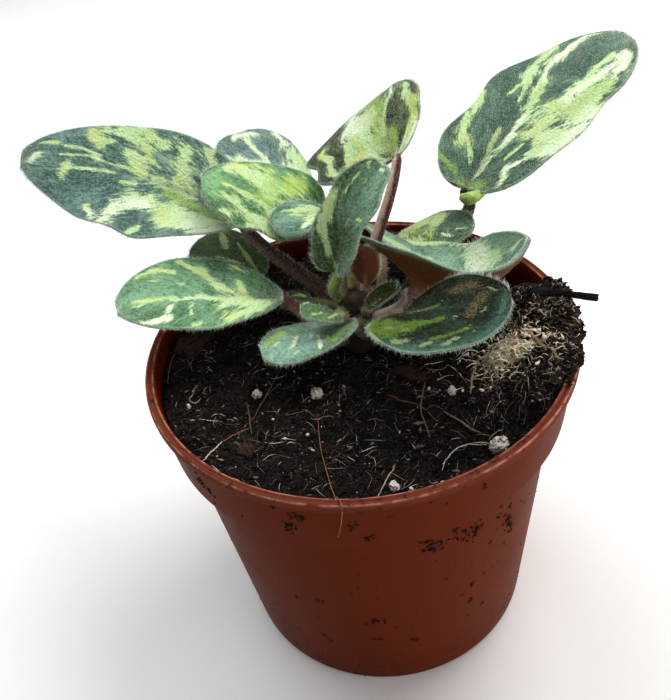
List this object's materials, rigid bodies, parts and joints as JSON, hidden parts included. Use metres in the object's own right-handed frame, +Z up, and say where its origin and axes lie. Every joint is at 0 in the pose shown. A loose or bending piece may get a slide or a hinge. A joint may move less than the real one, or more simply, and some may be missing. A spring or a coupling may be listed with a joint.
{
  "type": "potted african violet",
  "caption": "Low rosette of fleshy, hairy, variegated leaves on arching stalks from a short crown, without flowers, in peat soil that fills a round tapered nursery pot",
  "frame": {"origin": "centre of the pot's flat base, on the ground", "axes": "+Z is up, +X points to the right of the picture, -Y points towards the picture's viewer"},
  "size_m": [0.1456, 0.1104, 0.1149],
  "materials": {
    "pot": "satin",
    "soil": "matte",
    "crown": "matte",
    "leaf_green": "matte",
    "leaf_pale": "matte",
    "leaf_dark": "matte",
    "leaf_blue": "matte",
    "leaf_red": "matte",
    "perlite": "matte",
    "bark": "matte",
    "fibre": "matte"
  },
  "bodies": {
    "root": {"pot": "pot", "soil": "soil", "crown": "crown", "leaf_left_long": "leaf_green", "leaf_left_pale": "leaf_pale", "leaf_back_left": "leaf_blue", "leaf_back_tall": "leaf_pale", "leaf_centre": "leaf_dark", "leaf_centre_small": "leaf_blue", "leaf_right": "leaf_blue", "leaf_right_small": "leaf_pale", "leaf_right_high": "leaf_green", "leaf_front_right": "leaf_dark", "leaf_young_left": "leaf_green", "leaf_young_right": "leaf_dark", "leaf_young_back": "leaf_red", "leaf_front_low": "leaf_blue", "leaf_left_low": "leaf_green", "leaf_left_under": "leaf_green", "leaf_left_tiny": "leaf_dark", "perlite_1": "perlite", "perlite_2": "perlite", "perlite_3": "perlite", "perlite_4": "perlite", "perlite_5": "perlite", "bark_chip_1": "bark", "bark_chip_2": "bark", "bark_chip_3": "bark", "bark_splinter": "bark", "fibre_patch": "fibre"}
  },
  "joints": []
}
